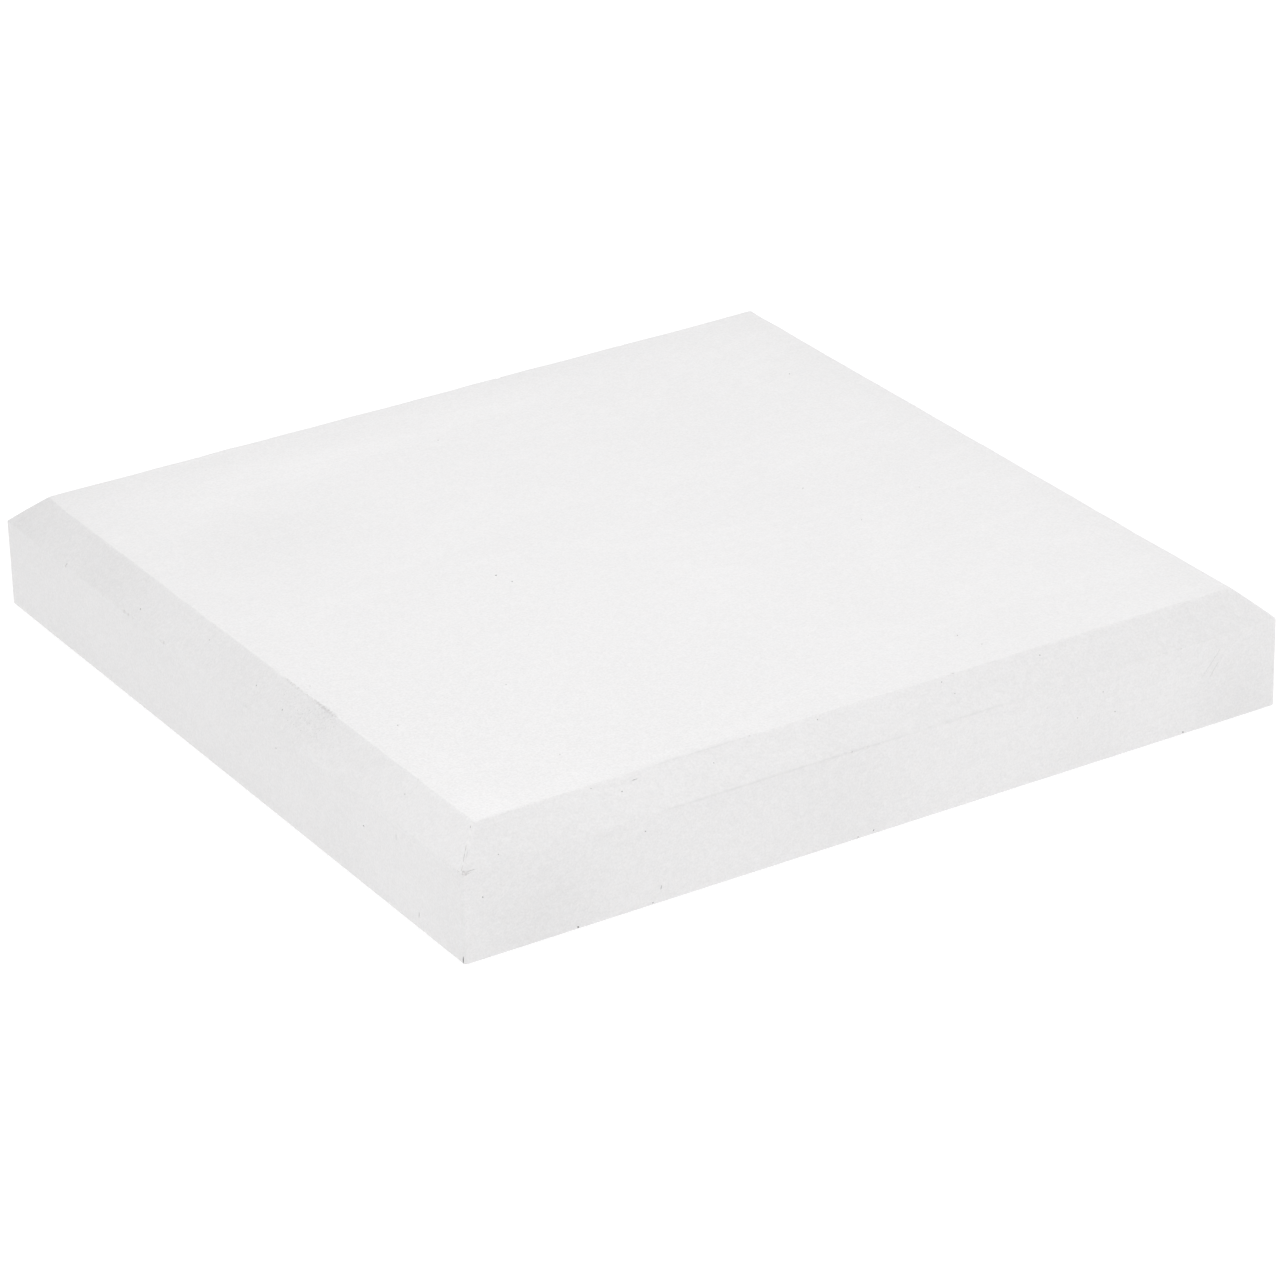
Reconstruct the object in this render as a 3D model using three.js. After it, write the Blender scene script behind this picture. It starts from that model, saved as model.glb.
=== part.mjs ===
// A leatherworker's stone slab: a square block of white stone with a bevelled top rim,
// standing on four thin rubber feet. Millimetres, +Z up. The origin is on the bench,
// under the middle of the slab.

import * as THREE from 'three';

// Stone
const slabSide = 228.6; // 9 in square
const stoneThickness = 30.8;
const bevelInset = 8.1; // how far the bevel comes in from the side
const bevelDrop = 7.4; // how far it falls below the top
const arrisRadius = 0.6; // the ground edges between top, bevel and side
const bottomEasing = 0.5; // small chamfer round the underside
const cornerRadius = 0.7; // the four upright corners
const arrisSteps = 3;
const cornerSteps = 4;

// Feet
const footDiameter = 19;
const footHeight = 1.6;
const footInset = 32; // from the slab's side to a foot's centre
const footEdgeRadius = 0.4; // the rounded rim that meets the bench
const footDraft = 0.25; // the wall leans in by this much towards the bench
const adhesiveFilm = 0.2; // thickness of the glue layer between a foot and the stone
const footSegments = 64;
const rimSteps = 3;

const undersideHeight = footHeight + adhesiveFilm;
const quarterTurn = Math.PI / 2;

// The outline of a square with rounded corners, anticlockwise seen from above.
function roundedSquare(inset, height) {
  const half = slabSide / 2 - inset;
  const centre = half - cornerRadius;
  const outline = [];
  for (let corner = 0; corner < 4; corner += 1) {
    const start = corner * quarterTurn;
    const middle = start + quarterTurn / 2;
    const centreX = centre * Math.sign(Math.cos(middle));
    const centreY = centre * Math.sign(Math.sin(middle));
    for (let step = 0; step <= cornerSteps; step += 1) {
      const angle = start + (quarterTurn * step) / cornerSteps;
      const x = centreX + cornerRadius * Math.cos(angle);
      const y = centreY + cornerRadius * Math.sin(angle);
      outline.push(new THREE.Vector3(x, y, height));
    }
  }
  return outline;
}

// Replaces a corner of the slab's profile by an arc that touches both its sides.
function easedCorner(before, corner, after, radius) {
  const towardsBefore = before.clone().sub(corner).normalize();
  const towardsAfter = after.clone().sub(corner).normalize();
  const halfAngle = Math.acos(towardsBefore.dot(towardsAfter)) / 2;
  const bisector = towardsBefore.clone().add(towardsAfter).normalize();
  const centre = corner.clone().addScaledVector(bisector, radius / Math.sin(halfAngle));
  const tangentLength = radius / Math.tan(halfAngle);
  const first = corner.clone().addScaledVector(towardsBefore, tangentLength).sub(centre);
  const last = corner.clone().addScaledVector(towardsAfter, tangentLength).sub(centre);
  const turn = last.angle() - first.angle();
  const sweep = Math.atan2(Math.sin(turn), Math.cos(turn));
  const arc = [];
  for (let step = 0; step <= arrisSteps; step += 1) {
    const radial = first.clone().rotateAround(new THREE.Vector2(), (sweep * step) / arrisSteps);
    arc.push(centre.clone().add(radial));
  }
  return arc;
}

// The slab's profile from the underside to the top, as points of (inset, height).
function stoneProfile() {
  const topHeight = undersideHeight + stoneThickness;
  const bevelFoot = new THREE.Vector2(0, topHeight - bevelDrop);
  const bevelHead = new THREE.Vector2(bevelInset, topHeight);
  const sideFoot = new THREE.Vector2(0, undersideHeight + bottomEasing);
  const topMiddle = new THREE.Vector2(slabSide / 2, topHeight);
  return [
    new THREE.Vector2(bottomEasing, undersideHeight),
    sideFoot,
    ...easedCorner(sideFoot, bevelFoot, bevelHead, arrisRadius),
    ...easedCorner(bevelFoot, bevelHead, topMiddle, arrisRadius),
  ];
}

// A closed solid through a stack of outlines with equal, even numbers of points. Each end cap
// joins a point to the one straight across, which leaves one large quad in the middle.
function loft(outlines) {
  const count = outlines[0].length;
  const positions = outlines.flat().flatMap((point) => point.toArray());
  const triangles = [];
  for (let level = 0; level < outlines.length - 1; level += 1) {
    for (let i = 0; i < count; i += 1) {
      const next = (i + 1) % count;
      const a = level * count + i;
      const b = level * count + next;
      const c = (level + 1) * count + next;
      const d = (level + 1) * count + i;
      triangles.push(a, b, c, a, c, d);
    }
  }
  const top = (outlines.length - 1) * count;
  for (let i = 0; i < count / 2 - 1; i += 1) {
    const across = count - 1 - i;
    triangles.push(i, across - 1, i + 1, i, across, across - 1);
    triangles.push(top + i, top + i + 1, top + across - 1, top + i, top + across - 1, top + across);
  }
  const geometry = new THREE.BufferGeometry();
  geometry.setAttribute('position', new THREE.Float32BufferAttribute(positions, 3));
  geometry.setIndex(triangles);
  geometry.computeVertexNormals();
  return geometry;
}

function buildStoneSlab(material) {
  const outlines = stoneProfile().map((point) => roundedSquare(point.x, point.y));
  const slab = new THREE.Mesh(loft(outlines), material);
  slab.name = 'stone_slab';
  return slab;
}

// A flat disc that narrows slightly towards the bench and has a rounded lower rim.
function footGeometry() {
  const topRadius = footDiameter / 2;
  const wallFootRadius = topRadius - footDraft;
  const profile = [new THREE.Vector2(0, 0)];
  for (let step = 0; step <= rimSteps; step += 1) {
    const angle = (quarterTurn * step) / rimSteps;
    const radius = wallFootRadius - footEdgeRadius + footEdgeRadius * Math.sin(angle);
    const height = footEdgeRadius - footEdgeRadius * Math.cos(angle);
    profile.push(new THREE.Vector2(radius, height));
  }
  profile.push(new THREE.Vector2(topRadius, footHeight));
  profile.push(new THREE.Vector2(0, footHeight));
  return new THREE.LatheGeometry(profile, footSegments).rotateX(quarterTurn);
}

function buildFeet(material) {
  const reach = slabSide / 2 - footInset;
  const geometry = footGeometry();
  const feet = new THREE.Group();
  for (const [depth, y] of [['front', -reach], ['back', reach]]) {
    for (const [hand, x] of [['left', -reach], ['right', reach]]) {
      const foot = new THREE.Mesh(geometry, material);
      foot.name = `foot_${depth}_${hand}`;
      foot.position.set(x, y, 0);
      feet.add(foot);
    }
  }
  return feet;
}

const whiteStone = new THREE.MeshStandardMaterial({
  color: '#e9e8e7',
  roughness: 0.45,
  metalness: 0,
});

const greyRubber = new THREE.MeshStandardMaterial({
  color: '#3c3c3d',
  roughness: 0.85,
  metalness: 0,
});

const graniteSlab = new THREE.Group();
graniteSlab.name = 'granite_slab';
graniteSlab.add(buildStoneSlab(whiteStone));
graniteSlab.add(buildFeet(greyRubber));

export default graniteSlab;
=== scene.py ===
import math

import bmesh
import bpy
import numpy as np
from mathutils import Matrix, Quaternion, Vector, noise
from mathutils.bvhtree import BVHTree


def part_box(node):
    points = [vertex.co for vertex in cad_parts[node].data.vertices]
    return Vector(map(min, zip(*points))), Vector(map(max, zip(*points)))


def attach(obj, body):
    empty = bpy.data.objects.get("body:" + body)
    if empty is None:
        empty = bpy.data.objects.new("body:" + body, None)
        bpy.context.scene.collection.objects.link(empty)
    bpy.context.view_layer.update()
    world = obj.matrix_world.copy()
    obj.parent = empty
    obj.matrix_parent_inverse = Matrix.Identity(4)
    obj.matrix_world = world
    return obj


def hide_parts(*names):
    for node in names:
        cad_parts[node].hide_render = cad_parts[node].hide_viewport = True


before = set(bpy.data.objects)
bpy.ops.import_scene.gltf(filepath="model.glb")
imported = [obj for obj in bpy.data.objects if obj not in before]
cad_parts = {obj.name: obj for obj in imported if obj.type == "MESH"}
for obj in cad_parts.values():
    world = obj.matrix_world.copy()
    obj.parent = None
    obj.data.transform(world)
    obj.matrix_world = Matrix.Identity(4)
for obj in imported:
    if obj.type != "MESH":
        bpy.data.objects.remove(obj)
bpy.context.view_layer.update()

# ---------------------------------------------------------------- driving values
# Lengths are millimetres unless a name says otherwise, and turn into metres by MM.

MM = 0.001
SEED = 41

stone_low, stone_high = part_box("stone_slab")
HALF_SIDE = stone_high.x / MM
NEAR = -HALF_SIDE  # x of the left side, and y of the front side
UNDERSIDE = stone_low.z / MM
TOP = stone_high.z / MM

# The bevel, as on the CAD solid
BEVEL_INSET = 8.1
BEVEL_DROP = 7.4
BEVEL_FOOT = TOP - BEVEL_DROP
BEVEL_TILT = math.atan2(BEVEL_INSET, BEVEL_DROP)
CORNER_RADIUS = 0.7

# The hand-ground edges: mean radius, how much it varies, and how far each line wanders
BOTTOM_RADIUS = 0.5
SIDE_ARRIS_RADIUS, SIDE_ARRIS_SPREAD, SIDE_ARRIS_WANDER = 0.55, 0.2, 0.22
TOP_ARRIS_RADIUS, TOP_ARRIS_SPREAD, TOP_ARRIS_WANDER = 0.45, 0.15, 0.16
BEVEL_CROWN = 0.06

# Mesh density, and how the mesh is laid out and shaded
CELLS_PER_SIDE = 110
CORNER_STEPS = 6
ARC_STEPS = 6
SIDE_ROWS = 9
BEVEL_ROWS = 6
SUPPORT = 0.35  # distance from an edge's arc to the row that keeps its shading narrow
CAP_MARGIN = 1.4  # from the edge of the top or the underside to the flat grid inside it
FOOT_TURNS = 96
STONE_CREASE, FOOT_CREASE = 32, 40  # degrees between two faces that are shaded as a hard line

FEET = ("foot_front_left", "foot_front_right", "foot_back_left", "foot_back_right")

# Each side of the slab: the way out of it, and the way along it in which places are given
SIDES = {
    "front": (Vector((0, -1, 0)), Vector((1, 0, 0))),
    "right": (Vector((1, 0, 0)), Vector((0, 1, 0))),
    "back": (Vector((0, 1, 0)), Vector((1, 0, 0))),
    "left": (Vector((-1, 0, 0)), Vector((0, 1, 0))),
}

# The sides that the photo shows, and the ones it doesn't
SHOWN_SIDES, HIDDEN_SIDES = ("front", "left"), ("right", "back")

# Slots of the stone's mesh, where slot 0 is the ground and polished stone
BREAK_SLOT, PIT_SLOT, CRACK_SLOT = 1, 2, 3

LUMP_ROUGHNESS = 0.45  # how uneven the broken surfaces are
LUMP_WAVES = 1.7  # noise waves across a lump's radius
LUMP_SPACING = 1.5  # least distance between lumps of one pass, over the reach of both

# Breaks seen along the edges: side, edge, place along it, length, bite
EDGE_CHIPS = [
    ("left", "top", -19.0, 0.9, 0.10),
    ("left", "top", -20.4, 1.4, 0.14),
    ("left", "top", -22.0, 0.8, 0.18),
    ("left", "top", -23.2, 1.9, 0.16),
    ("left", "top", -25.4, 1.1, 0.20),
    ("left", "top", -27.1, 1.6, 0.10),
    ("left", "top", -29.6, 0.9, 0.14),
    ("left", "top", -31.8, 1.4, 0.18),
    ("left", "top", -33.3, 2.2, 0.22),
    ("left", "top", -35.0, 1.2, 0.26),
    ("left", "top", -36.1, 1.7, 0.20),
    ("left", "top", -37.4, 1.2, 0.30),
    ("left", "top", -38.6, 2.1, 0.24),
    ("left", "top", -39.9, 1.3, 0.34),
    ("left", "top", -41.0, 1.6, 0.24),
    ("left", "top", -42.3, 0.9, 0.20),
    ("left", "top", -43.6, 1.2, 0.14),
    ("left", "top", -13.0, 1.0, 0.10),
    ("left", "top", -55.0, 0.8, 0.10),
    ("left", "bevel", 49.0, 1.6, 0.22),
    ("left", "bevel", 47.0, 1.2, 0.18),
    ("left", "bevel", 44.5, 1.2, 0.16),
    ("left", "bevel", 81.0, 1.2, 0.22),
    ("left", "bevel", 29.0, 3.0, 0.16),
    ("front", "bevel", -113.4, 1.6, 0.36),
    ("front", "bevel", -10.0, 2.6, 0.20),
    ("front", "bevel", -5.5, 1.6, 0.16),
    ("front", "bevel", -1.0, 1.4, 0.12),
    ("front", "bottom", -9.0, 3.2, 0.20),
    ("front", "bottom", 101.0, 1.0, 0.18),
    ("front", "bottom", 105.0, 0.8, 0.15),
]

# Hairline cracks at the near corner: both ends as distances from the corner of the bevel's foot
# (in from the left side, in from the front side, up), and the width. They run down the mitre
# between the two bevels and out along the arrises from its foot.
CORNER_CRACKS = [
    ((7.4, 7.7, 6.5), (7.0, 7.3, 6.1), 0.16),
    ((4.2, 4.7, 4.1), (3.3, 3.6, 3.2), 0.10),
    ((3.1, 3.5, 3.0), (1.5, 1.7, 1.5), 0.09),
    ((4.0, 3.5, 3.4), (2.6, 2.1, 2.1), 0.05),
    ((1.3, 1.4, 1.3), (0.3, 0.5, 0.4), 0.08),
    ((0.9, 0.1, 0.0), (3.9, 0.1, 0.1), 0.08),
    ((0.9, 0.1, -0.7), (2.8, 0.1, -0.3), 0.06),
    ((0.1, 0.7, 0.0), (0.1, 2.4, 0.1), 0.06),
]

# Hairlines elsewhere: both ends as (x, y, height), the width and the slot
OTHER_CRACKS = [
    ((NEAR, NEAR + 0.7, UNDERSIDE + 0.2), (NEAR, NEAR + 0.6, UNDERSIDE + 2.0), 0.36, PIT_SLOT),
    ((NEAR, -94, UNDERSIDE + 3.0), (NEAR, -94.2, UNDERSIDE + 4.8), 0.20, CRACK_SLOT),
    ((NEAR, -84.9, UNDERSIDE + 18.9), (NEAR, -85.0, UNDERSIDE + 20.8), 0.14, CRACK_SLOT),
    ((-65.6, NEAR + 6.6, BEVEL_FOOT + 6.0), (-63.6, NEAR + 6.7, BEVEL_FOOT + 6.1), 0.11, CRACK_SLOT),
    ((-62.3, NEAR, UNDERSIDE + 3.4), (-62, NEAR, UNDERSIDE + 4.6), 0.14, PIT_SLOT),
    ((92, NEAR, UNDERSIDE + 14), (98, NEAR, UNDERSIDE + 21), 0.05, CRACK_SLOT),
    ((94, NEAR, UNDERSIDE + 13), (97, NEAR, UNDERSIDE + 17), 0.05, CRACK_SLOT),
]

# Open pores: face, place along it, second place, radius. The second place is y on the top,
# the height above the underside on a side, and the share of the way up on a bevel.
PORES = [
    ("top", -36.3, 1.3, 0.27),
    ("top", -34.9, -4, 0.19),
    ("top", -96.5, -55.5, 0.17),
    ("top", -65, -51.6, 0.11),
    ("top", -73.2, -89.4, 0.13),
    ("top", 37, -90.2, 0.15),
    ("top", 39, -97.4, 0.13),
    ("top", -7, 80, 0.14),
    ("top", 91, 64, 0.16),
    ("top", 78, -15, 0.13),
    ("top", 55, -23, 0.12),
    ("top", 53.6, 1.2, 0.13),
    ("front", -66, 19.6, 0.17),
    ("front", -109, 15.9, 0.15),
    ("front", -84.5, 0.6, 0.24),
    ("front", -64.5, 0.7, 0.16),
    ("front", -8, 0.6, 0.12),
    ("front", -3.6, 1.1, 0.14),
    ("front", 86.5, 0.7, 0.21),
    ("front", 46, 18.8, 0.08),
    ("front", 62.4, 18.4, 0.14),
    ("front", 66, 12.1, 0.14),
    ("front", 55, 13.6, 0.11),
    ("left", -69.6, 16.0, 0.20),
    ("left", -28, 18.4, 0.14),
    ("front_bevel", -103.9, 0.16, 0.13),
    ("front_bevel", -75.6, 0.92, 0.12),
    ("front_bevel", -68.7, 0.66, 0.13),
    ("front_bevel", -64.6, 0.83, 0.09),
    ("front_bevel", -44, 0.66, 0.12),
    ("front_bevel", -14.2, 0.90, 0.10),
    ("front_bevel", 20.6, 0.88, 0.14),
    ("front_bevel", 22.5, 0.55, 0.13),
    ("front_bevel", 48.5, 0.81, 0.16),
    ("left_bevel", 81, 0.06, 0.15),
    ("left_bevel", 44.1, 0.27, 0.20),
    ("left_bevel", 14, 0.66, 0.09),
    ("left_bevel", -12, 0.50, 0.13),
    ("left_bevel", -25.8, 0.42, 0.16),
    ("left_bevel", -81.3, 0.59, 0.15),
]

# Soft lighter and darker stretches: side, whether on its bevel, middle, reach, amount
SIDE_TONES = [
    ("left", True, -108, 46, 0.033),
    ("left", True, -10, 12, -0.015),
    ("left", True, 31, 9, 0.014),
    ("left", True, 65, 15, -0.030),
    ("left", True, 110, 9, -0.026),
    ("left", False, -78, 30, 0.014),
    ("left", False, -10, 14, -0.009),
    ("front", True, -102, 20, -0.020),
    ("front", True, 95, 50, -0.017),
    ("front", False, 30, 72, 0.017),
    ("front", False, 78, 14, 0.008),
    ("right", True, -30, 40, -0.012),
    ("right", False, 60, 50, 0.010),
    ("back", True, 50, 36, -0.014),
    ("back", False, -40, 60, 0.010),
]

rng = np.random.default_rng(SEED)


# ---------------------------------------------------------------- small helpers


def smooth_step(low, high, value):
    """0 below low, 1 above high, and an even curve between them."""
    share = np.clip((value - low) / (high - low), 0, 1)
    return share * share * (3 - 2 * share)


def wander(places, longest, shortest, phase_seed):
    """A smooth random curve round the slab, about -1 to 1. places run from 0 to 1 and the
    curve closes. longest and shortest are its wavelengths in millimetres."""
    round_the_slab = 8 * HALF_SIDE
    first = max(1, round(round_the_slab / longest))
    last = round(round_the_slab / shortest)
    draw = np.random.default_rng(phase_seed)
    waves = np.arange(first, last + 1)
    phases = draw.uniform(0, 2 * math.pi, len(waves))
    weights = draw.normal(0, 1, len(waves)) / np.sqrt(waves / first)
    curve = (weights[:, None] * np.cos(2 * math.pi * waves[:, None] * places + phases[:, None])).sum(0)
    return curve / (2 * math.sqrt((weights**2).sum() / 2))


def new_object(name, mesh):
    """A new object in the scene, at the origin."""
    made = bpy.data.objects.new(name, mesh)
    bpy.context.scene.collection.objects.link(made)
    return made


def mesh_from(name, points, faces):
    """A mesh from points in millimetres."""
    mesh = bpy.data.meshes.new(name)
    mesh.from_pydata((np.asarray(points) * MM).tolist(), [], faces)
    mesh.validate()
    mesh.update()
    return mesh


# ---------------------------------------------------------------- the stone block


def ring_samples():
    """The places round the slab: side number, share along the straight run from -1 to 1,
    and the angle turned into the corner that follows it."""
    inner = 1 - SUPPORT / (HALF_SIDE - CORNER_RADIUS)
    runs = np.concatenate(([-1], np.linspace(-inner, inner, CELLS_PER_SIDE - 1), [1]))
    samples = []
    for side in range(4):
        samples += [(side, run, 0.0) for run in runs]
        for step in range(1, CORNER_STEPS):
            samples.append((side, 1.0, math.pi / 2 * step / CORNER_STEPS))
    return runs, samples


def ring_points(samples, inset, height):
    """One ring: a square with rounded corners, drawn in by inset at each sample."""
    side, run, turned = (np.array(column) for column in zip(*samples))
    facing = side * math.pi / 2
    out_x, out_y = np.cos(facing), np.sin(facing)
    straight = HALF_SIDE - inset - CORNER_RADIUS
    outward = straight + CORNER_RADIUS * np.cos(turned)
    along = run * straight + CORNER_RADIUS * np.sin(turned)
    x = out_x * outward - out_y * along
    y = out_y * outward + out_x * along
    return np.stack([x, y, np.broadcast_to(height, x.shape)], 1)


def profile_rows(count):
    """The slab's profile as rows of (inset, height), each an array with a value for every
    sample, from the underside up to the flat top. Adding 0 * inset turns a plain number into
    such an array."""
    places = np.arange(count) / count
    inset = BEVEL_INSET + TOP_ARRIS_WANDER * wander(places, 120, 14, SEED + 1)
    drop = BEVEL_DROP + SIDE_ARRIS_WANDER * wander(places, 150, 18, SEED + 2)
    lower = SIDE_ARRIS_RADIUS + SIDE_ARRIS_SPREAD * wander(places, 90, 12, SEED + 3)
    upper = TOP_ARRIS_RADIUS + TOP_ARRIS_SPREAD * wander(places, 90, 12, SEED + 4)
    tilt = np.arctan2(inset, drop)
    rows = []

    for step in range(ARC_STEPS + 1):
        angle = math.pi / 2 * step / ARC_STEPS
        rows.append((
            BOTTOM_RADIUS * (1 - math.sin(angle)) + 0 * inset,
            UNDERSIDE + BOTTOM_RADIUS * (1 - math.cos(angle)) + 0 * inset,
        ))

    side_foot = UNDERSIDE + BOTTOM_RADIUS + SUPPORT
    side_head = TOP - drop - lower * np.tan(tilt / 2)
    for share in np.linspace(0, 1, SIDE_ROWS):
        rows.append((0 * inset, side_foot + (side_head - SUPPORT - side_foot) * share))

    for step in range(ARC_STEPS + 1):
        angle = tilt * step / ARC_STEPS
        rows.append((lower * (1 - np.cos(angle)), side_head + lower * np.sin(angle)))

    upper_tangent = upper * np.tan((math.pi / 2 - tilt) / 2)
    lower_tangent = lower * np.tan(tilt / 2)
    length = np.hypot(inset, drop)
    for share in np.linspace(0, 1, BEVEL_ROWS):
        first = lower_tangent + SUPPORT
        last = length - upper_tangent - SUPPORT
        up = first + (last - first) * share
        crown = BEVEL_CROWN * math.sin(math.pi * share)
        rows.append((
            up * np.sin(tilt) - crown * np.cos(tilt),
            TOP - drop + up * np.cos(tilt) + crown * np.sin(tilt),
        ))

    for step in range(ARC_STEPS + 1):
        angle = tilt + (math.pi / 2 - tilt) * step / ARC_STEPS
        rows.append((
            inset + upper_tangent - upper * np.cos(angle),
            TOP - upper + upper * np.sin(angle),
        ))
    return rows


def cap_faces(runs, ring_start, ring_count, grid_start, upwards):
    """Faces of a flat cap: a square grid, and the band that joins it to a ring."""
    wide = len(runs)
    last = wide - 1

    def grid(i, j):
        return grid_start + i * wide + j

    faces = [
        (grid(i, j), grid(i + 1, j), grid(i + 1, j + 1), grid(i, j + 1))
        for i in range(last)
        for j in range(last)
    ]
    border = (
        [grid(last, j) for j in range(wide)],
        [grid(last - i, last) for i in range(wide)],
        [grid(0, last - j) for j in range(wide)],
        [grid(i, 0) for i in range(wide)],
    )
    per_side = wide + CORNER_STEPS - 1
    for side in range(4):
        start = side * per_side
        for k in range(last):
            a, b = ring_start + start + k, ring_start + start + k + 1
            faces.append((a, b, border[side][k + 1], border[side][k]))
        for k in range(CORNER_STEPS):
            a = ring_start + start + last + k
            b = ring_start + (start + last + k + 1) % ring_count
            faces.append((a, b, border[side][last]))
    return faces if upwards else [face[::-1] for face in faces]


def block_mesh():
    """The whole slab with eased, slightly wandering edges, and no breaks in it yet."""
    runs, samples = ring_samples()
    count = len(samples)
    rows = profile_rows(count)
    rings = [ring_points(samples, inset, height) for inset, height in rows]

    def cap_grid(half, height):
        x, y = np.meshgrid(runs * half, runs * half, indexing="ij")
        return np.stack([x.ravel(), y.ravel(), np.full(x.size, height)], 1)

    top_grid = cap_grid(HALF_SIDE - BEVEL_INSET - CAP_MARGIN, TOP)
    low_grid = cap_grid(HALF_SIDE - BOTTOM_RADIUS - CAP_MARGIN, UNDERSIDE)
    points = np.concatenate([*rings, top_grid, low_grid])

    faces = []
    for row in range(len(rings) - 1):
        for k in range(count):
            after = (k + 1) % count
            low, high = row * count, (row + 1) * count
            faces.append((low + k, low + after, high + after, high + k))
    top_start = len(rings) * count
    faces += cap_faces(runs, (len(rings) - 1) * count, count, top_start, True)
    faces += cap_faces(runs, 0, count, top_start + len(top_grid), False)
    return mesh_from("stone", points, faces)


# ---------------------------------------------------------------- breaks and pores


def edge_place(side, edge, along):
    """A point on one of the slab's edges, the way out of the stone there, and the edge's
    direction."""
    out, direction = SIDES[side]
    up = Vector((0, 0, 1))
    bevel_out = out * math.cos(BEVEL_TILT) + up * math.sin(BEVEL_TILT)
    inset, height, away = {
        "top": (BEVEL_INSET, TOP, bevel_out + up),
        "bevel": (0, BEVEL_FOOT, bevel_out + out),
        "bottom": (0, UNDERSIDE, out - up),
    }[edge]
    point = out * (HALF_SIDE - inset) + direction * along + up * height
    return point, away.normalized(), direction


def face_place(face, first, second):
    """A point on one of the slab's faces, and the way out of the stone there."""
    up = Vector((0, 0, 1))
    if face == "top":
        return Vector((first, second, TOP)), up
    side = face.removesuffix("_bevel")
    out, direction = SIDES[side]
    if face == side:
        return out * HALF_SIDE + direction * first + up * (UNDERSIDE + second), out
    inset, height = BEVEL_INSET * second, BEVEL_FOOT + BEVEL_DROP * second
    bevel_out = out * math.cos(BEVEL_TILT) + up * math.sin(BEVEL_TILT)
    return out * (HALF_SIDE - inset) + direction * first + up * height, bevel_out


def met_from_outside(surface, point, away):
    """Where the stone's real surface is when one comes straight in to a point."""
    outside = 2
    start = (point + away * outside) * MM
    found = surface.ray_cast(start, -away)[0]
    return found / MM if found else point


def edge_chip(surface, side, edge, along, length, bite):
    """A lump that takes a shallow scoop out of an edge. Its ball sits outside the stone, so
    only the lowest part of it cuts."""
    point, away, direction = edge_place(side, edge, along)
    point = met_from_outside(surface, point, away)
    across = away.cross(direction)
    deep = bite * rng.uniform(2.2, 3.2)
    wide = bite * rng.uniform(2.6, 3.8)
    centre = point + away * (deep - bite)
    return centre, (direction, across, away), (length / 2, wide, deep), BREAK_SLOT


def pore(surface, face, first, second, radius):
    """A lump that leaves an open pore in a face."""
    point, away = face_place(face, first, second)
    point = met_from_outside(surface, point, away)
    along = away.orthogonal().normalized()
    along.rotate(Quaternion(away, rng.uniform(0, math.pi)))
    across = away.cross(along)
    radii = (radius * rng.uniform(1.0, 1.7), radius * rng.uniform(0.7, 1.0), radius * 0.9)
    return point, (along, across, away), radii, PIT_SLOT


def corner_cracks():
    """The near corner's cracks, given in the same way as the others."""
    corner = np.array((NEAR, NEAR, BEVEL_FOOT))
    return [(corner + start, corner + end, width, CRACK_SLOT) for start, end, width in CORNER_CRACKS]


def crack(surface, start, end, width, slot):
    """A lump that leaves a hairline between two places on the surface."""
    start, end = Vector(start), Vector(end)
    middle = (start + end) / 2
    foot, away, _, _ = surface.find_nearest(middle * MM)
    direction = (end - start).normalized()
    away = (away - direction * away.dot(direction)).normalized()
    radii = ((end - start).length / 2, width / 2, width)
    return foot / MM, (direction, away.cross(direction), away), radii, slot


def add_lump(target, centre, axes, radii, slot):
    """Adds a closed uneven ball to a bmesh: radii lie along the three axes."""
    turn = Matrix(axes).transposed()
    offset = Vector(rng.uniform(-50, 50, 3))
    detail = 3 if slot == BREAK_SLOT else 2
    ball = bmesh.ops.create_icosphere(target, subdivisions=detail, radius=1)
    for vertex in ball["verts"]:
        unit = vertex.co.copy()
        swell = 1 + LUMP_ROUGHNESS * noise.noise(unit * LUMP_WAVES + offset)
        local = Vector(unit[k] * radii[k] * swell for k in range(3))
        vertex.co = (centre + turn @ local) * MM
    for face in {f for v in ball["verts"] for f in v.link_faces}:
        face.material_index = slot


def separate_passes(lumps):
    """Lists of lumps that don't touch each other, so that each list is one clean cut."""
    passes = []
    for lump in lumps:
        centre, _, radii, _ = lump
        for group in passes:
            if all(
                (centre - other).length > LUMP_SPACING * (max(radii) + max(other_radii))
                for other, _, other_radii, _ in group
            ):
                group.append(lump)
                break
        else:
            passes.append([lump])
    return passes


def scattered_chips():
    """Small nicks all round, so that no edge is perfectly clean. The two sides that the photo
    shows get finer ones, beside the breaks given by name."""
    found = []
    for side in SIDES:
        size = 0.55 if side in SHOWN_SIDES else 1
        for edge, count in (("top", 5), ("bevel", 4), ("bottom", 7)):
            for _ in range(count):
                along = rng.uniform(-100, 100)
                length = rng.uniform(0.7, 1.8) * size
                bite = rng.uniform(0.10, 0.24) * size
                found.append((side, edge, along, length, bite))
    for side in HIDDEN_SIDES:
        for edge in ("top", "bevel", "bottom"):
            along = rng.uniform(-95, 95)
            found.append((side, edge, along, rng.uniform(2.0, 3.4), rng.uniform(0.25, 0.42)))
    return found


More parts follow.
